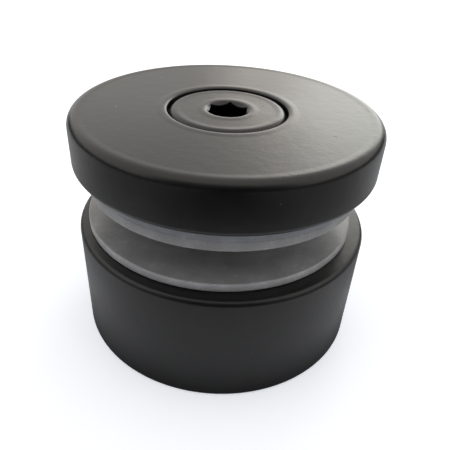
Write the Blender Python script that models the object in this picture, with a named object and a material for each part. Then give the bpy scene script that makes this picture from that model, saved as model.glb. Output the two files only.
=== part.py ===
"""Round point fixing that stands a glass pane off a wall.

A turned body screws to the wall from behind. A countersunk socket screw runs through a disc-shaped
cap, two upper pads and a clear bush, and turns in the body's through thread. The pane sits between
the lower pad and the upper pad, with the bush in its drilled hole.

Everything is about the +Z axis, in metres. The origin is the centre of the body's wall face.
"""

import math

import bmesh
import bpy

MM = 0.001

# Driving dimensions
OUTER_RADIUS = 25.0 * MM
BODY_HEIGHT = 20.0 * MM
PANE_SPACE = 6.3 * MM
CAP_THICKNESS = 8.0 * MM
TOUCH_GAP = 0.3 * MM

# Pads, where each height of the stack ends a touch gap short of the piece behind it
PAD_RADIUS = 23.0 * MM
PAD_HOLE_RADIUS = 8.0 * MM
LOWER_PAD_STACK = 1.5 * MM
UPPER_PAD_STACK = 1.5 * MM
SPACER_PAD_STACK = 1.8 * MM
LOWER_PAD_OFFSET = (-0.5 * MM, 0.3 * MM)

# Edges of the two metal discs
BODY_TOP_ROUND = 0.8 * MM
BODY_FOOT_ROUND = 0.4 * MM
CAP_TOP_ROUND = 1.5 * MM
CAP_FOOT_ROUND = 1.0 * MM

# Clear bush around the screw, in the pane's hole
BUSH_OUTER_RADIUS = 7.0 * MM
BUSH_INNER_RADIUS = 5.3 * MM
BUSH_EDGE = 0.3 * MM

# Screw with an M10 thread of 1.5 mm pitch, a 90 degree countersunk head and a 6 mm hexagon socket
SCREW_LENGTH = 30.0 * MM
HEAD_RECESS = 0.15 * MM
HEAD_RADIUS = 9.4 * MM
HEAD_ROUND = 0.4 * MM
HEAD_LAND = 0.8 * MM
NECK_RADIUS = 4.7 * MM
SOCKET_FLATS = 6.0 * MM
SOCKET_DEPTH = 5.2 * MM
SOCKET_DRILL_POINT = 0.8 * MM
SOCKET_LEAD_RADIUS = 4.15 * MM
SOCKET_LEAD_SLOPE = 0.8
SOCKET_CORNER_ANGLE = math.radians(24.0)

# Countersunk seat in the cap
SEAT_RADIUS = 9.75 * MM
SEAT_RIM_ROUND = 0.3 * MM
SEAT_CONE_GAP = 0.3 * MM
CAP_HOLE_RADIUS = 5.5 * MM

# Thread, whose ridge on the screw runs in the middle of the groove in the body
PITCH = 1.5 * MM
FLANK_TANGENT = math.tan(math.radians(30.0))
SCREW_CREST_RADIUS = 4.85 * MM
SCREW_ROOT_RADIUS = 4.05 * MM
SCREW_CREST_WIDTH = 0.15 * MM
SCREW_TIP_RADIUS = 3.7 * MM
BORE_GROOVE_RADIUS = 5.15 * MM
BORE_MINOR_RADIUS = 4.35 * MM
BORE_GROOVE_WIDTH = 0.2 * MM
BORE_MOUTH_RADIUS = 5.6 * MM

# Heights that follow from the driving dimensions
LOWER_PAD_TOP = BODY_HEIGHT + LOWER_PAD_STACK
UPPER_PAD_FOOT = LOWER_PAD_TOP + PANE_SPACE
SPACER_PAD_FOOT = UPPER_PAD_FOOT + UPPER_PAD_STACK
CAP_FOOT = SPACER_PAD_FOOT + SPACER_PAD_STACK
CAP_TOP = CAP_FOOT + CAP_THICKNESS
HEAD_TOP = CAP_TOP - HEAD_RECESS
SCREW_TIP = HEAD_TOP - SCREW_LENGTH
HEAD_CONE_TOP = HEAD_TOP - HEAD_ROUND - HEAD_LAND
HEAD_CONE_FOOT = HEAD_CONE_TOP - (HEAD_RADIUS - NECK_RADIUS)
THREAD_END = HEAD_CONE_FOOT - 2.0 * PITCH

# Smoothness
DISC_SEGMENTS = 72
HEAD_SEGMENTS = 60
THREAD_SEGMENTS = 24
ROUND_STEPS = 3
WELD_DISTANCE = 1e-7
SMOOTH_ANGLE = math.radians(35.0)


def clear_scene():
    """Remove every object that the scene starts with."""
    for obj in list(bpy.data.objects):
        bpy.data.objects.remove(obj, do_unlink=True)


def make_material(name, colour, roughness, metallic, transmission=0.0):
    """Return a Principled material."""
    material = bpy.data.materials.new(name)
    material.use_nodes = True
    shader = material.node_tree.nodes["Principled BSDF"]
    shader.inputs["Base Color"].default_value = (*colour, 1.0)
    shader.inputs["Roughness"].default_value = roughness
    shader.inputs["Metallic"].default_value = metallic
    shader.inputs["Transmission Weight"].default_value = transmission
    material.diffuse_color = (*colour, 1.0)
    return material


def make_empty(name):
    """Return an empty on the screw's axis, for a body that moves."""
    empty = bpy.data.objects.new(name, None)
    empty.empty_display_size = OUTER_RADIUS
    bpy.context.collection.objects.link(empty)
    return empty


def finish_object(name, bm, material, parent=None, location=(0.0, 0.0, 0.0)):
    """Weld a bmesh into one closed body and put it in the scene as a smooth-shaded object."""
    bmesh.ops.remove_doubles(bm, verts=bm.verts, dist=WELD_DISTANCE)
    bmesh.ops.dissolve_degenerate(bm, edges=bm.edges, dist=WELD_DISTANCE)
    bmesh.ops.recalc_face_normals(bm, faces=bm.faces)
    mesh = bpy.data.meshes.new(name)
    bm.to_mesh(mesh)
    bm.free()
    mesh.shade_smooth()
    mesh.set_sharp_from_angle(angle=SMOOTH_ANGLE)
    mesh.materials.append(material)
    obj = bpy.data.objects.new(name, mesh)
    bpy.context.collection.objects.link(obj)
    obj.location = location
    obj.parent = parent
    return obj


def round_corner(centre_r, centre_z, radius, start, end):
    """Points of an arc in the (radius, height) plane, with angles in degrees from outward."""
    points = []
    for step in range(ROUND_STEPS + 1):
        angle = math.radians(start + (end - start) * step / ROUND_STEPS)
        points.append((centre_r + radius * math.cos(angle), centre_z + radius * math.sin(angle)))
    return points


def add_ring(bm, points):
    """Add one closed ring of vertices from (angle, radius, height) triples."""
    ring = []
    for angle, radius, height in points:
        ring.append(bm.verts.new((radius * math.cos(angle), radius * math.sin(angle), height)))
    return ring


def circle_points(radius, height, segments):
    """Triples for a level circle."""
    return [(math.tau * step / segments, radius, height) for step in range(segments)]


def skin_rings(bm, rings, closed=False):
    """Join a list of rings that have the same number of vertices with quads."""
    pairs = list(zip(rings, rings[1:]))
    if closed:
        pairs.append((rings[-1], rings[0]))
    for lower, upper in pairs:
        count = len(lower)
        for index in range(count):
            following = (index + 1) % count
            bm.faces.new((lower[index], lower[following], upper[following], upper[index]))


def revolve(bm, outline, segments, closed=False):
    """Turn an outline of (radius, height) points about the axis and return its rings."""
    rings = []
    for radius, height in outline:
        rings.append(add_ring(bm, circle_points(radius, height, segments)))
    skin_rings(bm, rings, closed)
    return rings


def bridge(bm, ring_a, ring_b):
    """Close the band between two level rings that start at angle zero, by their steps in turn."""
    step_a = 0
    step_b = 0
    while step_a < len(ring_a) or step_b < len(ring_b):
        here_a = ring_a[step_a % len(ring_a)]
        here_b = ring_b[step_b % len(ring_b)]
        if (step_a + 1) * len(ring_b) <= (step_b + 1) * len(ring_a):
            step_a += 1
            bm.faces.new((here_a, ring_a[step_a % len(ring_a)], here_b))
        else:
            step_b += 1
            bm.faces.new((here_a, ring_b[step_b % len(ring_b)], here_b))


def thread_section(tooth_width, tooth_radius, land_radius):
    """One pitch of a 60 degree thread, as (height from the tooth's middle, radius) points."""
    half = tooth_width / 2.0
    flank = abs(tooth_radius - land_radius) * FLANK_TANGENT
    return [
        (-half - flank, land_radius),
        (-half, tooth_radius),
        (half, tooth_radius),
        (half + flank, land_radius),
    ]


def thread_point(section, turn, limit_low, limit_high, outside):
    """Place one thread point, with the thread cut off by a 45 degree chamfer at each end."""
    low_height, low_radius = limit_low
    high_height, high_radius = limit_high
    height = section[0] + PITCH * turn
    if height <= low_height:
        return low_radius, low_height
    if height >= high_height:
        return high_radius, high_height
    from_low = height - low_height
    from_high = high_height - height
    if outside:
        return min(section[1], low_radius + from_low, high_radius + from_high), height
    return max(section[1], low_radius - from_low, high_radius - from_high), height


def add_thread(bm, section, limit_low, limit_high, outside):
    """Add a right-hand helical thread between two level rings, and return those two rings.

    Each limit is the (height, radius) of an end ring. Points past an end fall on its ring and
    are welded there.
    """
    first_turn = math.floor(limit_low[0] / PITCH) - 2
    last_turn = math.ceil(limit_high[0] / PITCH) + 2
    columns = []
    for step in range(THREAD_SEGMENTS + 1):
        angle = math.tau * step / THREAD_SEGMENTS
        part_turn = step / THREAD_SEGMENTS
        column = []
        for turn in range(first_turn, last_turn):
            for point in section:
                radius, height = thread_point(point, turn + part_turn, limit_low, limit_high, outside)
                column.append(bm.verts.new((radius * math.cos(angle), radius * math.sin(angle), height)))
        columns.append(column)
    for left, right in zip(columns, columns[1:]):
        for index in range(len(left) - 1):
            bm.faces.new((left[index], right[index], right[index + 1], left[index + 1]))
    low_ring = [column[0] for column in columns[:-1]]
    high_ring = [column[-1] for column in columns[:-1]]
    return low_ring, high_ring


def weld_rings(bm, *rings):
    """Weld the mesh and return the vertices that now stand where each ring stood."""
    places = [[vert.co.copy() for vert in ring] for ring in rings]
    bmesh.ops.remove_doubles(bm, verts=bm.verts, dist=WELD_DISTANCE)
    bmesh.ops.dissolve_degenerate(bm, edges=bm.edges, dist=WELD_DISTANCE)
    found = []
    for ring_places in places:
        found.append([min(bm.verts, key=lambda vert: (vert.co - place).length) for place in ring_places])
    return found


def make_body(material):
    """The wall body: a disc with rounded edges and a through thread with chamfered mouths."""
    bm = bmesh.new()
    section = thread_section(BORE_GROOVE_WIDTH, BORE_GROOVE_RADIUS, BORE_MINOR_RADIUS)
    foot_mouth = (0.0, BORE_MOUTH_RADIUS)
    top_mouth = (BODY_HEIGHT, BORE_MOUTH_RADIUS)
    thread_rings = add_thread(bm, section, foot_mouth, top_mouth, outside=False)
    low_mouth, high_mouth = weld_rings(bm, *thread_rings)
    outline = round_corner(OUTER_RADIUS - BODY_FOOT_ROUND, BODY_FOOT_ROUND, BODY_FOOT_ROUND, -90.0, 0.0)
    top_centre = (OUTER_RADIUS - BODY_TOP_ROUND, BODY_HEIGHT - BODY_TOP_ROUND)
    outline += round_corner(*top_centre, BODY_TOP_ROUND, 0.0, 90.0)
    rings = revolve(bm, outline, DISC_SEGMENTS)
    bridge(bm, low_mouth, rings[0])
    bridge(bm, high_mouth, rings[-1])
    return finish_object("standoff_body", bm, material)


def make_pad(name, foot, top, material, parent=None, offset=(0.0, 0.0)):
    """A flat ring pad."""
    outline = [(PAD_HOLE_RADIUS, foot), (PAD_RADIUS, foot), (PAD_RADIUS, top), (PAD_HOLE_RADIUS, top)]
    bm = bmesh.new()
    revolve(bm, outline, DISC_SEGMENTS, closed=True)
    return finish_object(name, bm, material, parent, (offset[0], offset[1], 0.0))


def make_bush(material):
    """The clear bush, from just above the body to just below the cap."""
    foot = BODY_HEIGHT + TOUCH_GAP
    top = CAP_FOOT - TOUCH_GAP
    outline = [
        (BUSH_INNER_RADIUS, foot),
        (BUSH_OUTER_RADIUS - BUSH_EDGE, foot),
        (BUSH_OUTER_RADIUS, foot + BUSH_EDGE),
        (BUSH_OUTER_RADIUS, top - BUSH_EDGE),
        (BUSH_OUTER_RADIUS - BUSH_EDGE, top),
        (BUSH_INNER_RADIUS, top),
    ]
    bm = bmesh.new()
    revolve(bm, outline, HEAD_SEGMENTS, closed=True)
    return finish_object("glass_bush", bm, material)


def make_cap(material, parent):
    """The cap: a disc with a countersunk seat that follows the head's cone."""
    seat_cone_top = HEAD_CONE_TOP - (SEAT_CONE_GAP * math.sqrt(2.0) - (SEAT_RADIUS - HEAD_RADIUS))
    seat_cone_foot = seat_cone_top - (SEAT_RADIUS - CAP_HOLE_RADIUS)
    outline = [(CAP_HOLE_RADIUS, CAP_FOOT)]
    foot_centre = (OUTER_RADIUS - CAP_FOOT_ROUND, CAP_FOOT + CAP_FOOT_ROUND)
    outline += round_corner(*foot_centre, CAP_FOOT_ROUND, -90.0, 0.0)
    top_centre = (OUTER_RADIUS - CAP_TOP_ROUND, CAP_TOP - CAP_TOP_ROUND)
    outline += round_corner(*top_centre, CAP_TOP_ROUND, 0.0, 90.0)
    rim_centre = (SEAT_RADIUS + SEAT_RIM_ROUND, CAP_TOP - SEAT_RIM_ROUND)
    outline += round_corner(*rim_centre, SEAT_RIM_ROUND, 90.0, 180.0)
    outline += [(SEAT_RADIUS, seat_cone_top), (CAP_HOLE_RADIUS, seat_cone_foot)]
    bm = bmesh.new()
    revolve(bm, outline, DISC_SEGMENTS, closed=True)
    return finish_object("clamp_cap", bm, material, parent)


def socket_radius(angle):
    """Distance from the axis to the hexagon's outline at an angle."""
    from_corner = (angle - SOCKET_CORNER_ANGLE) % (math.tau / 6.0)
    return SOCKET_FLATS / 2.0 / math.cos(from_corner - math.tau / 12.0)


def add_socket(bm, mouth_ring):
    """Add the hexagon socket: a conical lead-in that scallops the six flats, and a drill point."""
    lead = []
    floor = []
    floor_height = HEAD_TOP - SOCKET_DEPTH
    for step in range(HEAD_SEGMENTS):
        angle = math.tau * step / HEAD_SEGMENTS
        radius = socket_radius(angle)
        lead_height = HEAD_TOP - (SOCKET_LEAD_RADIUS - radius) * SOCKET_LEAD_SLOPE
        lead.append((angle, radius, lead_height))
        floor.append((angle, radius, floor_height))
    lead_ring = add_ring(bm, lead)
    floor_ring = add_ring(bm, floor)
    skin_rings(bm, [mouth_ring, lead_ring, floor_ring])
    centre = bm.verts.new((0.0, 0.0, floor_height - SOCKET_DRILL_POINT))
    for first, second in zip(floor_ring, floor_ring[1:] + floor_ring[:1]):
        bm.faces.new((first, second, centre))


def make_screw(material, parent):
    """The clamp screw: a chamfered tip, the thread, a neck, the countersunk head and its socket."""
    bm = bmesh.new()
    section = thread_section(SCREW_CREST_WIDTH, SCREW_CREST_RADIUS, SCREW_ROOT_RADIUS)
    tip_end = (SCREW_TIP, SCREW_TIP_RADIUS)
    neck_end = (THREAD_END, SCREW_ROOT_RADIUS)
    thread_rings = add_thread(bm, section, tip_end, neck_end, outside=True)
    tip_ring, neck_ring = weld_rings(bm, *thread_rings)
    bm.faces.new(tip_ring)
    outline = [(NECK_RADIUS, THREAD_END + (NECK_RADIUS - SCREW_ROOT_RADIUS))]
    outline += [(NECK_RADIUS, HEAD_CONE_FOOT), (HEAD_RADIUS, HEAD_CONE_TOP)]
    outline += round_corner(HEAD_RADIUS - HEAD_ROUND, HEAD_TOP - HEAD_ROUND, HEAD_ROUND, 0.0, 90.0)
    outline += [(SOCKET_LEAD_RADIUS, HEAD_TOP)]
    rings = revolve(bm, outline, HEAD_SEGMENTS)
    bridge(bm, neck_ring, rings[0])
    add_socket(bm, rings[-1])
    return finish_object("clamp_screw", bm, material, parent)


def main():
    clear_scene()
    coated = make_material("black_coated_metal", (0.03, 0.03, 0.032), 0.45, 0.2)
    screw_metal = make_material("black_screw_metal", (0.035, 0.035, 0.037), 0.4, 0.3)
    pad_plastic = make_material("clear_pad", (0.75, 0.77, 0.78), 0.35, 0.0, 0.5)
    spacer_plastic = make_material("clear_spacer_pad", (0.7, 0.74, 0.78), 0.35, 0.0, 0.5)
    bush_plastic = make_material("clear_bush", (0.85, 0.86, 0.86), 0.25, 0.0, 0.7)

    lift = make_empty("cap_lift")
    cap_turn = make_empty("cap_turn")
    cap_turn.parent = lift
    screw_turn = make_empty("screw_turn")
    screw_turn.parent = lift

    make_body(coated)
    lower_foot = BODY_HEIGHT + TOUCH_GAP
    make_pad("lower_pad", lower_foot, LOWER_PAD_TOP, pad_plastic, offset=LOWER_PAD_OFFSET)
    make_bush(bush_plastic)
    make_pad("upper_pad", UPPER_PAD_FOOT, SPACER_PAD_FOOT - TOUCH_GAP, pad_plastic, lift)
    make_pad("spacer_pad", SPACER_PAD_FOOT, CAP_FOOT - TOUCH_GAP, spacer_plastic, lift)
    make_cap(coated, cap_turn)
    make_screw(screw_metal, screw_turn)


main()
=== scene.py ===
"""Looks for the round glass standoff: fine turned pieces, procedural finishes, soft studio light.

Every piece is turned about an upright axis, in metres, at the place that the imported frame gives.
"""

import math

import bmesh
import bpy
from mathutils import Matrix, Vector, noise


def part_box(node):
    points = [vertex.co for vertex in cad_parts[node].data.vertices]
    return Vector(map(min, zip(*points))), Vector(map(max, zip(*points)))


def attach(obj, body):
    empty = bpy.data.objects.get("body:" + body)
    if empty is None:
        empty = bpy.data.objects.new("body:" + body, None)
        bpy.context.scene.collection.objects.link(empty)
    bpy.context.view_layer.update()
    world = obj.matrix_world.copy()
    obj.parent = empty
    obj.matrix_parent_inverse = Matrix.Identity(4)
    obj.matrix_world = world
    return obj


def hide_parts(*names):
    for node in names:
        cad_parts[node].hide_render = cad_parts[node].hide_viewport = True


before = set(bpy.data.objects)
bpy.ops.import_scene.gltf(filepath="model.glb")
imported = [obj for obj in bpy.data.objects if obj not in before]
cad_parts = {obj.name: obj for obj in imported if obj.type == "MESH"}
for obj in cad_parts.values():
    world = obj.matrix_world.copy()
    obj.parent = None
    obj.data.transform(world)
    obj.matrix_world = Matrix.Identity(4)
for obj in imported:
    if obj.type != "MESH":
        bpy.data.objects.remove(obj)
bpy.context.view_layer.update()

MM = 0.001

# Edges of the turned discs
BODY_TOP_ROUND = 0.8 * MM
BODY_FOOT_ROUND = 0.4 * MM
CAP_TOP_ROUND = 1.5 * MM
CAP_FOOT_ROUND = 1.0 * MM

# Pads and bush: they reach the faces that they touch, less a hair, except for the lower pad's foot.
# The edge's wave is read round a circle of PAD_WAVE_LOOP noise cells.
TOUCH_GAP = 0.3 * MM
HAIR = 0.02 * MM
PAD_HOLE_RADIUS = 8.0 * MM
PAD_FREE_ROUND = 0.25 * MM
PAD_TOUCH_ROUND = 0.012 * MM
PAD_WAVE = 0.05 * MM
PAD_WAVE_LOOP = 2.5
PAD_FOOT_FILL = 0.1 * MM
GLASS_PAD_SAG = 0.35 * MM
GLASS_PAD_SAG_DIRECTION = math.radians(215.0)
BUSH_INNER_RADIUS = 5.3 * MM
BUSH_EDGE_ROUND = 0.3 * MM

# Screw head, socket and seat
HEAD_RADIUS = 9.4 * MM
HEAD_ROUND = 1.0 * MM
HEAD_LAND = 0.2 * MM
NECK_RADIUS = 4.7 * MM
SOCKET_FLATS = 6.0 * MM
SOCKET_DEPTH = 5.2 * MM
SOCKET_DRILL_POINT = 0.8 * MM
SOCKET_LEAD_RADIUS = 4.12 * MM
SOCKET_LEAD_WIDTH = 0.7 * MM
SOCKET_LEAD_DEPTH = 0.2 * MM
SOCKET_LEAD_SLOPE = 0.9
SOCKET_CORNER_ANGLE = math.radians(24.0)
SEAT_RADIUS = 9.75 * MM
SEAT_RIM_WIDTH = 0.8 * MM
SEAT_RIM_DEPTH = 0.28 * MM
SEAT_CONE_GAP = 0.3 * MM
CAP_HOLE_RADIUS = 5.5 * MM

# The coating is thicker along an edge, which leaves a low bead there
BEAD_HEIGHT = 0.055 * MM
BEAD_WIDTH = 1.1 * MM
BEAD_STEPS = 8

# Thread
PITCH = 1.5 * MM
FLANK_TANGENT = math.tan(math.radians(30.0))
SCREW_CREST_RADIUS = 4.85 * MM
SCREW_ROOT_RADIUS = 4.05 * MM
SCREW_CREST_WIDTH = 0.15 * MM
SCREW_TIP_RADIUS = 3.7 * MM
BORE_GROOVE_RADIUS = 5.15 * MM
BORE_MINOR_RADIUS = 4.35 * MM
BORE_GROOVE_WIDTH = 0.2 * MM
BORE_MOUTH_RADIUS = 5.6 * MM
FLANK_SHARES = (0.0, 0.06, 0.5, 0.94, 1.0)

# Fineness
DISC_SEGMENTS = 360
HEAD_SEGMENTS = 240
THREAD_SEGMENTS = 96
ROUND_STEPS = 10
SMALL_ROUND_STEPS = 5
SHARP_ANGLE = math.radians(28.0)
WELD_DISTANCE = 1e-7

# Finishes: noise scales are per millimetre, and most of a noise lies in NOISE_RANGE
NOISE_RANGE = (0.3, 0.7)

# Black coating: shades are shares of its colour, the depths of swell and grain are shares of the
# orange peel's, and the cloud shares say how much of an unevenness is cloud, the rest being grain
COAT_SHADES = (0.4, 1.9)
COAT_SWELL_SCALE = 0.55
COAT_SWELL_DEPTH = 2.5
COAT_PEEL_SCALE = 2.8
COAT_GRAIN_SCALE = 5.0
COAT_GRAIN_DEPTH = 0.3
COAT_CLOUD_SCALE = 0.16
COAT_TONE_CLOUD = 0.6
COAT_ROUGHNESS_CLOUD = 0.4
COAT_ANISOTROPY = 0.30
ALONG_THE_TURNING = 0.25
DUST = {"scale": 0.8, "size": 0.13, "share": 0.016}
DUST_COLOUR = (0.38, 0.38, 0.37, 1.0)
DUST_SLOPE = (0.7, 0.95)
PITS = {"scale": 0.7, "size": 0.2, "share": 0.035}
SPECK_DEPTH = 0.07 * MM

# Painted shade deep in the socket, near black and smooth, in millimetres: its radius, how far under the
# head it starts, and its soft edge
SOCKET_SHADE_RADIUS = 3.55
SOCKET_SHADE_DROP = 0.65
SOCKET_SHADE_EDGE = 0.2
SOCKET_SHADE_ROUGHNESS = 0.1
SOCKET_SHADE_COLOUR = (0.0004, 0.0004, 0.0004, 1.0)

# Frosted pads: shades are shares of the pad's colour
PAD_SHADES = (0.72, 1.28)
PAD_TONE_CLOUD = 0.55
PAD_TONE_RANGE = (0.25, 0.75)
PAD_FACE_SLOPE = (0.3, 1.0)
PAD_MARK_SHADE = 1.7
PAD_ROUGHNESS = (0.285, 0.40)
PAD_CLOUD_SCALE = 0.35
PAD_CLOUD_DEPTH = 0.04 * MM
PAD_GRAIN_SCALE = 9.0
PAD_GRAIN_DEPTH = 0.003 * MM
PAD_TRANSMISSION = 0.15
BUBBLES = {"scale": 1.3, "size": 0.11, "share": 0.35}
BUBBLE_DEPTH = 0.01 * MM
SCUFF_STRETCH = (0.7, 2.2, 1.0)
SCUFF_SCALE = 1.3
SCUFF_RANGE = (0.54, 0.70)
SCUFF_PATCHES = (0.48, 0.62)
SCUFF_STRENGTH = 0.7

# Clear bush
CLEAR = (0.97, 0.98, 0.98, 1.0)
MILKY = (0.88, 0.90, 0.90, 1.0)
BUSH_ROUGHNESS = (0.02, 0.09)
BUSH_FLOW_SCALE = 0.5
BUSH_FLOW_DEPTH = 0.02 * MM
BUSH_HAZE_SCALE = 5.0

# Room and floor
ROOM_COLOUR = (1.0, 0.97, 0.92, 1.0)
ROOM_STRENGTH = 1.09
FLOOR_HALF = 3.0
FLOOR_PAPER = {"Base_Color": (0.82, 0.84, 0.88, 1.0), "Roughness": 0.9, "Specular_IOR_Level": 0.1}
FLOOR_GLOW = {"Emission_Color": (0.9, 0.93, 1.0, 1.0), "Emission_Strength": 0.48}
BLACK = (0.0, 0.0, 0.0, 1.0)

# Floor flag: how much of the floor's reflection it takes, and the distances between which that changes
FLAG_HALF = 0.7
FLAG_HEIGHT = 0.3 * MM
FLAG_FRONT = 1.0
FLAG_SIDE = 0.7
FLAG_SIDEWAYS = (20.0 * MM, 90.0 * MM)
FLAG_FRONT_START = (30.0 * MM, 74.0 * MM)
FLAG_BACK_NEAR = 0.88
FLAG_BACK_FAR = 0.58
FLAG_BACK_STEP = (45.0 * MM, 75.0 * MM)
FLAG_BACK_END = (110.0 * MM, 300.0 * MM)
FLAG_FRONT_TO_BACK = (-25.0 * MM, 25.0 * MM)
# Near the foot the flag's cover is painted shade at the floor's join with the object, seen in
# reflections
FLAG_CONTACT = 0.85
FLAG_LEAST = 0.4
FLAG_CONTACT_STEP = (25.0 * MM, 31.0 * MM)

# Front wall, and the low band at the horizon with its gap behind the object, in degrees each way
WALL_HALF = 2.0
WALL_AWAY = 1.5
WALL_TOP = 2.7
WALL_COLOUR = (1.0, 0.98, 0.95, 1.0)
WALL_GLOW = 0.25
WALL_GLOW_STEP = (1.6, 2.6)
HORIZON_RADIUS = 0.75
HORIZON_TOP = 0.22
HORIZON_GAP = 38.0
HORIZON_STEPS = 48

# Soft boxes: name, heading, elevation, size, radiance and colour
SOFT_BOX_DISTANCE = 0.5
SOFT_BOX_AIM = 39.0 * MM
SOFT_BOX_ROLL = 32.0
SOFT_BOXES = (
    ("warm_strip", 7.8, 20.0, (0.07, 0.31), 1.65, (1.0, 0.93, 0.84)),
    ("soft_box", 23.0, 16.5, (0.2, 0.25), 2.32, (0.98, 1.0, 0.94)),
)

# Camera, from the object's foot
CAMERA_DISTANCE = 74.66 * MM
CAMERA_HEIGHT = 66.76 * MM
CAMERA_PITCH = math.radians(-33.98)
CAMERA_YAW = math.radians(-0.46)
CAMERA_ROLL = math.radians(3.27)
CAMERA_LENS_MM = 38.71
CAMERA_SENSOR_MM = 36.0
CAMERA_CLIP = (1.0 * MM, 20.0)


# ---------------------------------------------------------------- shapes


def arc(centre_r, centre_z, radius, start, end, steps=ROUND_STEPS):
    """Points of an arc in the (radius, height) plane, with angles in degrees from outward."""
    points = []
    for step in range(steps + 1):
        angle = math.radians(start + (end - start) * step / steps)
        points.append((centre_r + radius * math.cos(angle), centre_z + radius * math.sin(angle)))
    return points


def bead(crest_r, crest_z, inward):
    """Points from the flat up to the crest of an edge bead, or down again when inward is False."""
    side = -1.0 if inward else 1.0
    points = []
    for step in range(BEAD_STEPS + 1):
        share = step / BEAD_STEPS
        drop = BEAD_HEIGHT * (1.0 - math.cos(math.pi * share)) / 2.0
        points.append((crest_r + side * BEAD_WIDTH * share, crest_z - drop))
    return points


class MeshParts:
    """Vertices and faces that grow ring by ring."""

    def __init__(self):
        self.points = []
        self.faces = []

    def ring(self, radii_and_heights):
        """Add a ring that has one (radius, height) pair for each step round the axis."""
        first = len(self.points)
        count = len(radii_and_heights)
        for step, (radius, height) in enumerate(radii_and_heights):
            angle = math.tau * step / count
            self.points.append((radius * math.cos(angle), radius * math.sin(angle), height))
        return list(range(first, first + count))

    def skin(self, rings, closed=False):
        """Join rings of one size with quads."""
        pairs = list(zip(rings, rings[1:]))
        if closed:
            pairs.append((rings[-1], rings[0]))
        for low, high in pairs:
            for step in range(len(low)):
                after = (step + 1) % len(low)
                self.faces.append((low[step], low[after], high[after], high[step]))

    def turn(self, outline, segments, closed=False):
        """Turn an outline about the axis and return its rings."""
        rings = [self.ring([point] * segments) for point in outline]
        self.skin(rings, closed)
        return rings

    def bridge(self, ring_a, ring_b):
        """Close the band between two level rings of different sizes, both from angle zero."""
        step_a = 0
        step_b = 0
        while step_a < len(ring_a) or step_b < len(ring_b):
            here_a = ring_a[step_a % len(ring_a)]
            here_b = ring_b[step_b % len(ring_b)]
            if (step_a + 1) * len(ring_b) <= (step_b + 1) * len(ring_a):
                step_a += 1
                self.faces.append((here_a, ring_a[step_a % len(ring_a)], here_b))
            else:
                step_b += 1
                self.faces.append((here_a, ring_b[step_b % len(ring_b)], here_b))

    def cap(self, ring, centre):
        """Close a ring with a fan of triangles to a centre point."""
        self.points.append(centre)
        middle = len(self.points) - 1
        for step in range(len(ring)):
            self.faces.append((ring[step], ring[(step + 1) % len(ring)], middle))

    def thread(self, section, limit_low, limit_high, outside):
        """Add a right-hand thread between two level end rings, and return those rings.

        Each limit is the (height, radius) of an end ring. Points past an end lie on its ring, and
        doubled points are welded by make_piece.
        """
        first_turn = math.floor(limit_low[0] / PITCH) - 2
        last_turn = math.ceil(limit_high[0] / PITCH) + 2
        columns = []
        for step in range(THREAD_SEGMENTS):
            turned = step / THREAD_SEGMENTS
            angle = math.tau * turned
            column = []
            for turn in range(first_turn, last_turn):
                for point in section:
                    radius, height = thread_point(point, turn + turned, limit_low, limit_high, outside)
                    self.points.append((radius * math.cos(angle), radius * math.sin(angle), height))
                    column.append(len(self.points) - 1)
            columns.append(column)
        joints = list(zip(columns, columns[1:]))
        turn_points = len(section)
        joints.append((columns[-1][:-turn_points], columns[0][turn_points:]))
        for left, right in joints:
            for index in range(len(left) - 1):
                self.faces.append((left[index], right[index], right[index + 1], left[index + 1]))
        return [column[0] for column in columns], [column[-1] for column in columns]


def thread_section(tooth_width, tooth_radius, land_radius):
    """One pitch of a 60 degree thread with soft corners, as (height from its middle, radius)."""
    half = tooth_width / 2.0
    rise = tooth_radius - land_radius
    flank = abs(rise) * FLANK_TANGENT
    section = []
    for share in FLANK_SHARES:
        section.append((-half - flank * (1.0 - share), land_radius + rise * share))
    upper = [(-height, radius) for height, radius in reversed(section)]
    return section + upper


def thread_point(point, turn, limit_low, limit_high, outside):
    """Radius and height of one thread point, with a 45 degree chamfer at each end of the thread."""
    low_height, low_radius = limit_low
    high_height, high_radius = limit_high
    height = point[0] + PITCH * turn
    if height <= low_height:
        return low_radius, low_height
    if height >= high_height:
        return high_radius, high_height
    from_low = height - low_height
    from_high = high_height - height
    if outside:
        return min(point[1], low_radius + from_low, high_radius + from_high), height
    return max(point[1], low_radius - from_low, high_radius - from_high), height


def make_piece(name, parts, material, body, node):
    """Turn mesh parts into a welded, smooth-shaded piece that stands for a CAD node."""
    mesh = bpy.data.meshes.new(name)
    mesh.from_pydata(parts.points, [], parts.faces)
    bm = bmesh.new()
    bm.from_mesh(mesh)
    bmesh.ops.remove_doubles(bm, verts=bm.verts, dist=WELD_DISTANCE)
    bmesh.ops.dissolve_degenerate(bm, edges=bm.edges, dist=WELD_DISTANCE)
    bmesh.ops.recalc_face_normals(bm, faces=bm.faces)
    bm.to_mesh(mesh)
    bm.free()
    mesh.shade_smooth()
    mesh.set_sharp_from_angle(angle=SHARP_ANGLE)
    mesh.materials.append(material)
    piece = bpy.data.objects.new(name, mesh)
    bpy.context.scene.collection.objects.link(piece)
    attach(piece, body)
    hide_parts(node)
    return piece


def node_size(node):
    """Outer radius, foot height and top height of a CAD node."""
    low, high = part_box(node)
    return (high.x - low.x) / 2.0, low.z, high.z


# ---------------------------------------------------------------- materials


def add_node(tree, kind, inputs=None, **settings):
    """Add a node; an input is given a value or is linked from a socket."""
    node = tree.nodes.new(kind)
    for key, value in settings.items():
        setattr(node, key, value)
    for key, value in (inputs or {}).items():
        if isinstance(value, bpy.types.NodeSocket):
            tree.links.new(value, node.inputs[key])
        else:
            node.inputs[key].default_value = value
    return node


def math_node(tree, operation, first, second=0.0):
    """Output of a Math node."""
    return add_node(tree, "ShaderNodeMath", {0: first, 1: second}, operation=operation).outputs[0]


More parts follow.
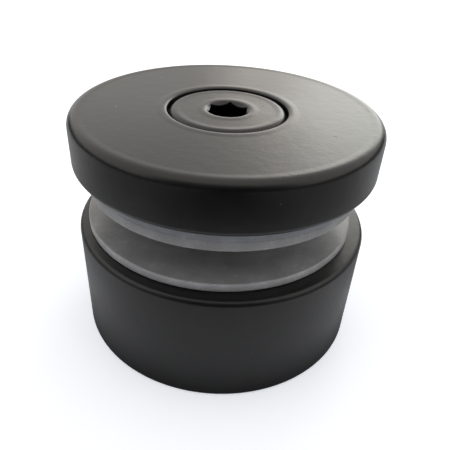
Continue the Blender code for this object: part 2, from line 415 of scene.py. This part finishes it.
def spread(tree, value, low, high, from_low=0.0, from_high=1.0):
    """A value mapped from one range to another."""
    inputs = {"Value": value, "From Min": from_low, "From Max": from_high, "To Min": low, "To Max": high}
    return add_node(tree, "ShaderNodeMapRange", inputs).outputs["Result"]


def mix_colour(tree, share, first, second):
    """A colour between two others."""
    inputs = {0: share, 6: first, 7: second}
    return add_node(tree, "ShaderNodeMix", inputs, data_type="RGBA").outputs[2]


def mix_value(tree, share, first, second):
    """A value between two others."""
    return add_node(tree, "ShaderNodeMix", {0: share, 2: first, 3: second}).outputs[0]


def blend_noise(tree, first, second, share):
    """The weighted mean of two noises, where share is the weight of the first."""
    weighted_first = math_node(tree, "MULTIPLY", first, share)
    weighted_second = math_node(tree, "MULTIPLY", second, 1.0 - share)
    return math_node(tree, "ADD", weighted_first, weighted_second)


def vector_part(tree, vector, part):
    """The x, y or z of a vector, where part is 0, 1 or 2."""
    return add_node(tree, "ShaderNodeSeparateXYZ", {0: vector}).outputs[part]


def vector_times(tree, vector, factors):
    """A vector times the factors of its x, y and z."""
    inputs = {0: vector, 1: factors}
    return add_node(tree, "ShaderNodeVectorMath", inputs, operation="MULTIPLY").outputs[0]


def vector_length(tree, vector):
    """The length of a vector."""
    return add_node(tree, "ShaderNodeVectorMath", {0: vector}, operation="LENGTH").outputs["Value"]


def object_place(tree):
    """Object coordinates, in metres."""
    return add_node(tree, "ShaderNodeTexCoord").outputs["Object"]


def upward_slope(tree):
    """The upward part of the surface's normal: 1 on a level top and -1 on a level foot."""
    return vector_part(tree, add_node(tree, "ShaderNodeTexCoord").outputs["Normal"], 2)


def shade_of(colour, share):
    """A share of an RGB colour, with an alpha of 1."""
    return (*[channel * share for channel in colour], 1.0)


def new_material(name):
    """A node material with its tree, its shader, and object coordinates in millimetres."""
    material = bpy.data.materials.new(name)
    material.use_nodes = True
    tree = material.node_tree
    shader = tree.nodes["Principled BSDF"]
    scaled = {0: object_place(tree), "Scale": 1.0 / MM}
    millimetres = add_node(tree, "ShaderNodeVectorMath", scaled, operation="SCALE").outputs[0]
    return material, tree, shader, millimetres


def noise_value(tree, place, scale, detail=2.0, roughness=0.5):
    """Fractal noise with features of 1 / scale millimetres."""
    inputs = {"Vector": place, "Scale": scale, "Detail": detail, "Roughness": roughness}
    return add_node(tree, "ShaderNodeTexNoise", inputs).outputs["Fac"]


def specks(tree, place, scale, size, share):
    """1 on small round specks, in a share of the cells of a grid of 1 / scale millimetres."""
    inputs = {"Vector": place, "Scale": scale}
    cells = add_node(tree, "ShaderNodeTexVoronoi", inputs)
    chosen = add_node(tree, "ShaderNodeSeparateColor", {0: cells.outputs["Color"]}).outputs[0]
    near = spread(tree, cells.outputs["Distance"], 1.0, 0.0, size * scale * 0.5, size * scale)
    return math_node(tree, "MULTIPLY", near, math_node(tree, "LESS_THAN", chosen, share))


def bump(tree, height, distance, normal=None):
    """Output of a Bump node for a height of 0 to 1, with its depth in metres."""
    inputs = {"Height": height, "Distance": distance, "Strength": 1.0}
    if normal is not None:
        inputs["Normal"] = normal
    return add_node(tree, "ShaderNodeBump", inputs).outputs["Normal"]


def coated_metal(name, colour, roughness, peel_depth, painted_shade_below=None):
    """Satin black coating over a turned metal: swell, orange peel, fine grain, pits, and dust on top.

    Near the axis, below the height that the last argument gives in millimetres, the metal is smooth and
    painted near black: painted shade in the socket's deep recess.
    """
    material, tree, shader, place = new_material(name)
    swell = noise_value(tree, place, COAT_SWELL_SCALE)
    peel = noise_value(tree, place, COAT_PEEL_SCALE, detail=3.0, roughness=0.6)
    grain = noise_value(tree, place, COAT_GRAIN_SCALE)
    cloud = noise_value(tree, place, COAT_CLOUD_SCALE, detail=3.0)
    on_top = spread(tree, upward_slope(tree), 0.0, 1.0, *DUST_SLOPE)
    dust = math_node(tree, "MULTIPLY", specks(tree, place, **DUST), on_top)
    pits = specks(tree, place, **PITS)

    dark, light = [shade_of(colour, share) for share in COAT_SHADES]
    tone = spread(tree, blend_noise(tree, cloud, grain, COAT_TONE_CLOUD), 0.0, 1.0, *NOISE_RANGE)
    finish = mix_colour(tree, dust, mix_colour(tree, tone, dark, light), DUST_COLOUR)
    uneven = blend_noise(tree, cloud, grain, COAT_ROUGHNESS_CLOUD)
    rough = spread(tree, uneven, *roughness, *NOISE_RANGE)
    # Painted shade: deep in the socket the coating turns near black and smooth
    if painted_shade_below is not None:
        radius = vector_length(tree, vector_times(tree, place, (1.0, 1.0, 0.0)))
        near = math_node(tree, "LESS_THAN", radius, SOCKET_SHADE_RADIUS)
        deep = spread(tree, vector_part(tree, place, 2), 1.0, 0.0, painted_shade_below - SOCKET_SHADE_EDGE, painted_shade_below)
        socket_shade_mask = math_node(tree, "MULTIPLY", near, deep)
        rough = mix_value(tree, socket_shade_mask, rough, SOCKET_SHADE_ROUGHNESS)
        finish = mix_colour(tree, socket_shade_mask, finish, SOCKET_SHADE_COLOUR)
    tree.links.new(finish, shader.inputs["Base Color"])
    tree.links.new(rough, shader.inputs["Roughness"])

    normal = bump(tree, swell, peel_depth * COAT_SWELL_DEPTH)
    normal = bump(tree, peel, peel_depth, normal)
    normal = bump(tree, grain, peel_depth * COAT_GRAIN_DEPTH, normal)
    normal = bump(tree, math_node(tree, "SUBTRACT", dust, pits), SPECK_DEPTH, normal)
    tree.links.new(normal, shader.inputs["Normal"])

    tangent = add_node(tree, "ShaderNodeTangent", direction_type="RADIAL", axis="Z").outputs[0]
    tree.links.new(tangent, shader.inputs["Tangent"])
    shader.inputs["Anisotropic"].default_value = COAT_ANISOTROPY
    shader.inputs["Anisotropic Rotation"].default_value = ALONG_THE_TURNING
    shader.inputs["Specular IOR Level"].default_value = 0.5
    return material


def frosted_plastic(name, colour, face_share):
    """Frosted translucent pad plastic: cloudy and grained, with pale bubbles and patches of scuffs.

    The flat faces show the black metal under them, so their own tone is only face_share of the rim's.
    """
    material, tree, shader, place = new_material(name)
    cloud = noise_value(tree, place, PAD_CLOUD_SCALE, detail=3.0)
    grain = noise_value(tree, place, PAD_GRAIN_SCALE)
    bubbles = specks(tree, place, **BUBBLES)
    stretched = vector_times(tree, place, SCUFF_STRETCH)
    scuffs = noise_value(tree, stretched, SCUFF_SCALE, detail=5.0, roughness=0.7)
    scuffs = spread(tree, scuffs, 0.0, 1.0, *SCUFF_RANGE)
    patches = spread(tree, cloud, 0.0, SCUFF_STRENGTH, *SCUFF_PATCHES)
    marks = math_node(tree, "MAXIMUM", bubbles, math_node(tree, "MULTIPLY", scuffs, patches))

    dark, light = [shade_of(colour, share) for share in PAD_SHADES]
    tone = spread(tree, blend_noise(tree, cloud, grain, PAD_TONE_CLOUD), 0.0, 1.0, *PAD_TONE_RANGE)
    level = math_node(tree, "ABSOLUTE", upward_slope(tree))
    shade = spread(tree, level, 1.0, face_share, *PAD_FACE_SLOPE)
    shaded = {0: mix_colour(tree, tone, dark, light), "Scale": shade}
    plain = add_node(tree, "ShaderNodeVectorMath", shaded, operation="SCALE").outputs[0]
    marked = mix_colour(tree, marks, plain, shade_of(colour, PAD_MARK_SHADE))
    tree.links.new(marked, shader.inputs["Base Color"])
    tree.links.new(spread(tree, grain, *PAD_ROUGHNESS, *NOISE_RANGE), shader.inputs["Roughness"])

    normal = bump(tree, cloud, PAD_CLOUD_DEPTH)
    normal = bump(tree, grain, PAD_GRAIN_DEPTH, normal)
    normal = bump(tree, bubbles, BUBBLE_DEPTH, normal)
    tree.links.new(normal, shader.inputs["Normal"])
    shader.inputs["Transmission Weight"].default_value = PAD_TRANSMISSION
    shader.inputs["IOR"].default_value = 1.45
    shader.inputs["Specular IOR Level"].default_value = 0.9
    shader.inputs["Sheen Weight"].default_value = 0.8
    shader.inputs["Sheen Roughness"].default_value = 0.25
    return material


def clear_plastic(name):
    """Clear bush plastic with faint flow lines and a slight haze."""
    material, tree, shader, place = new_material(name)
    flow = noise_value(tree, place, BUSH_FLOW_SCALE, detail=4.0)
    haze = noise_value(tree, place, BUSH_HAZE_SCALE)
    tree.links.new(mix_colour(tree, flow, CLEAR, MILKY), shader.inputs["Base Color"])
    tree.links.new(spread(tree, haze, *BUSH_ROUGHNESS, *NOISE_RANGE), shader.inputs["Roughness"])
    tree.links.new(bump(tree, flow, BUSH_FLOW_DEPTH), shader.inputs["Normal"])
    shader.inputs["Transmission Weight"].default_value = 1.0
    shader.inputs["IOR"].default_value = 1.49
    return material


# ---------------------------------------------------------------- pieces


def make_body(material):
    """Wall body with rounded edges and a through thread."""
    outer, foot, top = node_size("standoff_body")
    parts = MeshParts()
    section = thread_section(BORE_GROOVE_WIDTH, BORE_GROOVE_RADIUS, BORE_MINOR_RADIUS)
    mouths = parts.thread(section, (foot, BORE_MOUTH_RADIUS), (top, BORE_MOUTH_RADIUS), outside=False)
    outline = arc(outer - BODY_FOOT_ROUND, foot + BODY_FOOT_ROUND, BODY_FOOT_ROUND, -90.0, 0.0)
    outline += arc(outer - BODY_TOP_ROUND, top - BODY_TOP_ROUND, BODY_TOP_ROUND, 0.0, 90.0)
    rings = parts.turn(outline, DISC_SEGMENTS)
    parts.bridge(mouths[0], rings[0])
    parts.bridge(mouths[1], rings[-1])
    return make_piece("wall_body", parts, material, "body", "standoff_body")


def make_pad(name, node, body, material, fills, rounds, sag=0.0):
    """Die-cut ring pad with soft, slightly wavy edges, whose foot may sag towards one side.

    The fills say how far it reaches past its node, and the rounds are its edges' radii, each given
    for below and above.
    """
    fill_below, fill_above = fills
    round_below, round_above = rounds
    low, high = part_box(node)
    centre = (low + high) / 2.0
    outer = (high.x - low.x) / 2.0
    foot = low.z - fill_below
    top = high.z + fill_above
    foot_z = foot + round_below
    top_z = top - round_above
    outline = arc(outer - round_below, foot_z, round_below, -90.0, 0.0, SMALL_ROUND_STEPS)
    outline += arc(outer - round_above, top_z, round_above, 0.0, 90.0, SMALL_ROUND_STEPS)
    outline += arc(PAD_HOLE_RADIUS + round_above, top_z, round_above, 90.0, 180.0, SMALL_ROUND_STEPS)
    outline += arc(PAD_HOLE_RADIUS + round_below, foot_z, round_below, 180.0, 270.0, SMALL_ROUND_STEPS)
    parts = MeshParts()
    rings = []
    for radius, height in outline:
        ring = []
        for step in range(DISC_SEGMENTS):
            angle = math.tau * step / DISC_SEGMENTS
            place = Vector((PAD_WAVE_LOOP * math.cos(angle), PAD_WAVE_LOOP * math.sin(angle), 0.0))
            hang = sag * (1.0 + math.cos(angle - GLASS_PAD_SAG_DIRECTION)) / 2.0
            lowered = height - hang * (top - height) / (top - foot)
            ring.append((radius - PAD_WAVE * abs(noise.noise(place)), lowered))
        rings.append(parts.ring(ring))
    parts.skin(rings, closed=True)
    parts.points = [(x + centre.x, y + centre.y, z) for x, y, z in parts.points]
    return make_piece(name, parts, material, body, node)


def make_bush(material):
    """Clear bush with rounded ends."""
    outer, foot, top = node_size("glass_bush")
    foot -= TOUCH_GAP - HAIR
    top += TOUCH_GAP - HAIR
    round_r = BUSH_EDGE_ROUND
    outline = [(BUSH_INNER_RADIUS, foot)]
    outline += arc(outer - round_r, foot + round_r, round_r, -90.0, 0.0, SMALL_ROUND_STEPS)
    outline += arc(outer - round_r, top - round_r, round_r, 0.0, 90.0, SMALL_ROUND_STEPS)
    outline += [(BUSH_INNER_RADIUS, top)]
    parts = MeshParts()
    parts.turn(outline, HEAD_SEGMENTS, closed=True)
    return make_piece("clear_bush", parts, material, "body", "glass_bush")


def make_cap(material):
    """Cap with rounded edges and a countersunk seat."""
    outer, foot, top = node_size("clamp_cap")
    head_top = node_size("clamp_screw")[2]
    screw_cone_top = head_top - HEAD_ROUND - HEAD_LAND
    cone_top = screw_cone_top - SEAT_CONE_GAP * math.sqrt(2.0) + (SEAT_RADIUS - HEAD_RADIUS)
    cone_foot = cone_top - (SEAT_RADIUS - CAP_HOLE_RADIUS)
    outline = [(CAP_HOLE_RADIUS, foot)]
    outline += arc(outer - CAP_FOOT_ROUND, foot + CAP_FOOT_ROUND, CAP_FOOT_ROUND, -90.0, 0.0)
    outline += arc(outer - CAP_TOP_ROUND, top - CAP_TOP_ROUND, CAP_TOP_ROUND, 0.0, 90.0)
    outline += bead(outer - CAP_TOP_ROUND, top, inward=True)[1:]
    outline += bead(SEAT_RADIUS + SEAT_RIM_WIDTH, top, inward=False)[:0:-1]
    for along, down in arc(0.0, 0.0, 1.0, 90.0, 180.0):
        rim_r = SEAT_RADIUS + SEAT_RIM_WIDTH * (1.0 + along)
        outline.append((rim_r, top - SEAT_RIM_DEPTH * (1.0 - down)))
    outline += [(SEAT_RADIUS, cone_top), (CAP_HOLE_RADIUS, cone_foot)]
    parts = MeshParts()
    parts.turn(outline, DISC_SEGMENTS, closed=True)
    return make_piece("disc_cap", parts, material, "cap", "clamp_cap")


def socket_radius(angle):
    """Distance from the axis to the hexagon at an angle."""
    from_corner = (angle - SOCKET_CORNER_ANGLE) % (math.tau / 6.0)
    return SOCKET_FLATS / 2.0 / math.cos(from_corner - math.tau / 12.0)


def make_screw(material):
    """Countersunk screw: thread, neck, cone, head, and a hexagon socket with an eased mouth."""
    _, tip, head_top = node_size("clamp_screw")
    cone_top = head_top - HEAD_ROUND - HEAD_LAND
    cone_foot = cone_top - (HEAD_RADIUS - NECK_RADIUS)
    thread_end = cone_foot - 2.0 * PITCH
    parts = MeshParts()
    section = thread_section(SCREW_CREST_WIDTH, SCREW_CREST_RADIUS, SCREW_ROOT_RADIUS)
    ends = parts.thread(section, (tip, SCREW_TIP_RADIUS), (thread_end, SCREW_ROOT_RADIUS), outside=True)
    parts.cap(ends[0], (0.0, 0.0, tip))
    outline = [(NECK_RADIUS, thread_end + NECK_RADIUS - SCREW_ROOT_RADIUS)]
    outline += [(NECK_RADIUS, cone_foot), (HEAD_RADIUS, cone_top)]
    outline += arc(HEAD_RADIUS - HEAD_ROUND, head_top - HEAD_ROUND, HEAD_ROUND, 0.0, 90.0)
    outline += bead(HEAD_RADIUS - HEAD_ROUND, head_top, inward=True)[1:]
    outline += bead(SOCKET_LEAD_RADIUS, head_top, inward=False)[:0:-1]
    lead_turn = math.degrees(math.atan(SOCKET_LEAD_SLOPE * SOCKET_LEAD_WIDTH / SOCKET_LEAD_DEPTH))
    for along, down in arc(0.0, 0.0, 1.0, 90.0, 90.0 + lead_turn):
        lead_r = SOCKET_LEAD_RADIUS + SOCKET_LEAD_WIDTH * along
        outline.append((lead_r, head_top - SOCKET_LEAD_DEPTH * (1.0 - down)))
    lead_end_r, lead_end_z = outline[-1]
    rings = parts.turn(outline, HEAD_SEGMENTS)
    parts.bridge(ends[1], rings[0])

    floor_height = head_top - SOCKET_DEPTH
    lead = []
    floor = []
    for step in range(HEAD_SEGMENTS):
        radius = socket_radius(math.tau * step / HEAD_SEGMENTS)
        lead.append((radius, lead_end_z - (lead_end_r - radius) * SOCKET_LEAD_SLOPE))
        floor.append((radius, floor_height))
    lead_ring = parts.ring(lead)
    floor_ring = parts.ring(floor)
    parts.skin([rings[-1], lead_ring, floor_ring])
    parts.cap(floor_ring, (0.0, 0.0, floor_height - SOCKET_DRILL_POINT))
    return make_piece("socket_screw", parts, material, "screw", "clamp_screw")


# ---------------------------------------------------------------- studio


def level_square(half, height=0.0):
    """Corners of a level square about the axis."""
    return [(-half, -half, height), (half, -half, height), (half, half, height), (-half, half, height)]


def add_card(name, corners, shader_kind, faces=None, **inputs):
    """A card with one shader, for the studio; an underscore in an input is a space."""
    mesh = bpy.data.meshes.new(name)
    mesh.from_pydata(corners, [], faces or [tuple(range(len(corners)))])
    material = bpy.data.materials.new(name)
    material.use_nodes = True
    tree = material.node_tree
    tree.nodes.clear()
    shader = add_node(tree, shader_kind, {key.replace("_", " "): value for key, value in inputs.items()})
    output = add_node(tree, "ShaderNodeOutputMaterial", {"Surface": shader.outputs[0]})
    output.name = "Material Output"
    mesh.materials.append(material)
    card = bpy.data.objects.new(name, mesh)
    bpy.context.scene.collection.objects.link(card)
    return card


def reflections_only(card, shades=False):
    """Leave the card out of everything but reflections, or let it shade soft light as well."""
    card.visible_camera = False
    card.visible_diffuse = shades
    card.visible_shadow = False
    card.visible_transmission = False


def add_floor_flag():
    """A dark square just over the floor that only reflections see, whose cover varies with place."""
    corners = level_square(FLAG_HALF, FLAG_HEIGHT)
    card = add_card("floor_flag", corners, "ShaderNodeBsdfDiffuse", Color=BLACK)
    tree = card.data.materials[0].node_tree
    dark = tree.nodes["Diffuse BSDF"].outputs[0]
    place = object_place(tree)
    radius = vector_length(tree, place)
    side = math_node(tree, "ABSOLUTE", vector_part(tree, place, 0))
    front = spread(tree, side, FLAG_FRONT, FLAG_SIDE, *FLAG_SIDEWAYS)
    front = math_node(tree, "MULTIPLY", front, spread(tree, radius, 0.0, 1.0, *FLAG_FRONT_START))
    back = spread(tree, radius, FLAG_BACK_NEAR, FLAG_BACK_FAR, *FLAG_BACK_STEP)
    back = math_node(tree, "MULTIPLY", back, spread(tree, radius, 1.0, 0.0, *FLAG_BACK_END))
    behind = spread(tree, vector_part(tree, place, 1), 0.0, 1.0, *FLAG_FRONT_TO_BACK)
    # Painted shade: the cover is greatest at the foot, darkening the floor's reflection there
    contact = spread(tree, radius, FLAG_CONTACT, FLAG_LEAST, *FLAG_CONTACT_STEP)
    cover = math_node(tree, "MAXIMUM", mix_value(tree, behind, front, back), contact)
    clear = add_node(tree, "ShaderNodeBsdfTransparent").outputs[0]
    mixed = add_node(tree, "ShaderNodeMixShader", {0: cover, 1: clear, 2: dark}).outputs[0]
    tree.links.new(mixed, tree.nodes["Material Output"].inputs["Surface"])
    reflections_only(card)


def add_front_flag():
    """A dark wall far in front that only reflections and soft light see, paler towards its edges."""
    foot = [(-WALL_HALF, -WALL_AWAY, 0.0), (WALL_HALF, -WALL_AWAY, 0.0)]
    top = [(WALL_HALF, -WALL_AWAY, WALL_TOP), (-WALL_HALF, -WALL_AWAY, WALL_TOP)]
    wall = add_card("front_flag", foot + top, "ShaderNodeEmission", Color=WALL_COLOUR)
    tree = wall.data.materials[0].node_tree
    glow = spread(tree, vector_length(tree, object_place(tree)), 0.0, WALL_GLOW, *WALL_GLOW_STEP)
    tree.links.new(glow, tree.nodes["Emission"].inputs["Strength"])
    reflections_only(wall, shades=True)


def add_horizon_flag():
    """A low dark band round the sides and the front that only reflections see."""
    gap = math.radians(HORIZON_GAP)
    corners = []
    for step in range(HORIZON_STEPS + 1):
        heading = gap + (math.tau - 2.0 * gap) * step / HORIZON_STEPS
        x = HORIZON_RADIUS * math.sin(heading)
        y = HORIZON_RADIUS * math.cos(heading)
        corners += [(x, y, 0.0), (x, y, HORIZON_TOP)]
    faces = [(low, low + 2, low + 3, low + 1) for low in range(0, 2 * HORIZON_STEPS, 2)]
    reflections_only(add_card("horizon_flag", corners, "ShaderNodeBsdfDiffuse", faces, Color=BLACK))


def add_soft_box(name, heading, elevation, size, radiance, colour):
    """A soft box seen from the object at a heading from +Y towards +X, in degrees, and an elevation."""
    light = bpy.data.lights.new(name, "AREA")
    light.shape = "RECTANGLE"
    light.size, light.size_y = size
    light.energy = radiance * math.pi * size[0] * size[1]
    light.color = colour
    box = bpy.data.objects.new(name, light)
    bpy.context.scene.collection.objects.link(box)
    tilt = Matrix.Rotation(math.radians(elevation), 4, "X")
    turn = Matrix.Rotation(math.radians(-heading), 4, "Z") @ tilt
    place = turn @ Vector((0.0, SOFT_BOX_DISTANCE, 0.0)) + Vector((0.0, 0.0, SOFT_BOX_AIM))
    roll = Matrix.Rotation(math.radians(SOFT_BOX_ROLL), 4, "Z")
    facing = Matrix.Rotation(math.radians(-90.0), 4, "X") @ roll
    box.matrix_world = Matrix.Translation(place) @ turn @ facing
    box.visible_camera = False


def make_studio():
    """Pale floor, even white room, soft boxes behind on the right, and dark flags in reflections."""
    world = bpy.data.worlds.new("studio")
    world.use_nodes = True
    background = world.node_tree.nodes["Background"]
    background.inputs["Color"].default_value = ROOM_COLOUR
    background.inputs["Strength"].default_value = ROOM_STRENGTH
    bpy.context.scene.world = world

    add_card("floor", level_square(FLOOR_HALF), "ShaderNodeBsdfPrincipled", **FLOOR_PAPER, **FLOOR_GLOW)
    add_floor_flag()
    add_front_flag()
    add_horizon_flag()
    for soft_box in SOFT_BOXES:
        add_soft_box(*soft_box)


def make_camera():
    """Camera in front of and above the object, rolled a little."""
    data = bpy.data.cameras.new("camera")
    data.lens = CAMERA_LENS_MM
    data.sensor_width = CAMERA_SENSOR_MM
    data.clip_start, data.clip_end = CAMERA_CLIP
    camera = bpy.data.objects.new("camera", data)
    bpy.context.scene.collection.objects.link(camera)
    turn = Matrix.Rotation(CAMERA_YAW, 3, "Z") @ Matrix.Rotation(CAMERA_PITCH, 3, "X")
    forward = turn @ Vector((0.0, 1.0, 0.0))
    up = turn @ Vector((0.0, 0.0, 1.0))
    right = forward.cross(up)
    rolled_right = math.cos(CAMERA_ROLL) * right + math.sin(CAMERA_ROLL) * up
    rolled_up = math.cos(CAMERA_ROLL) * up - math.sin(CAMERA_ROLL) * right
    axes = Matrix((rolled_right, rolled_up, -forward)).transposed()
    camera.matrix_world = Matrix.Translation((0.0, -CAMERA_DISTANCE, CAMERA_HEIGHT)) @ axes.to_4x4()
    bpy.context.scene.camera = camera


def main():
    """Make the pieces, the studio and the camera."""
    bpy.context.scene.view_settings.view_transform = "Standard"
    black = (0.0034, 0.0034, 0.004)
    screw_black = (0.004, 0.004, 0.0044)
    # Height, in millimetres, below which the socket gets painted shade
    painted_shade_below = node_size("clamp_screw")[2] / MM - SOCKET_SHADE_DROP
    cap_coating = coated_metal("black_cap", black, (0.282, 0.325), 0.011 * MM)
    body_coating = coated_metal("black_body", black, (0.30, 0.41), 0.012 * MM)
    screw_coating = coated_metal("black_screw", screw_black, (0.282, 0.315), 0.011 * MM, painted_shade_below)
    # The lower pad's colour is a lighter copy of the glass pad's; the extra brightness is painted light
    low_pad = frosted_plastic("frosted_low_pad_painted_light", (0.40, 0.40, 0.42), 0.78)
    pad = frosted_plastic("frosted_pad", (0.215, 0.215, 0.22), 0.85)
    spacer = frosted_plastic("frosted_spacer", (0.155, 0.162, 0.182), 0.85)

    make_body(body_coating)
    gap = TOUCH_GAP - HAIR
    fills = (PAD_FOOT_FILL, 0.0)
    rounds = (PAD_TOUCH_ROUND, PAD_FREE_ROUND)
    make_pad("body_pad", "lower_pad", "body", low_pad, fills, rounds)
    fills = (0.0, gap / 2.0)
    rounds = (PAD_FREE_ROUND, PAD_TOUCH_ROUND)
    make_pad("glass_pad", "upper_pad", "upper_pads", pad, fills, rounds, GLASS_PAD_SAG)
    fills = (gap / 2.0, gap)
    rounds = (PAD_TOUCH_ROUND, PAD_TOUCH_ROUND)
    make_pad("cap_pad", "spacer_pad", "upper_pads", spacer, fills, rounds)
    make_bush(clear_plastic("bush_plastic"))
    make_cap(cap_coating)
    make_screw(screw_coating)
    make_studio()
    make_camera()


main()
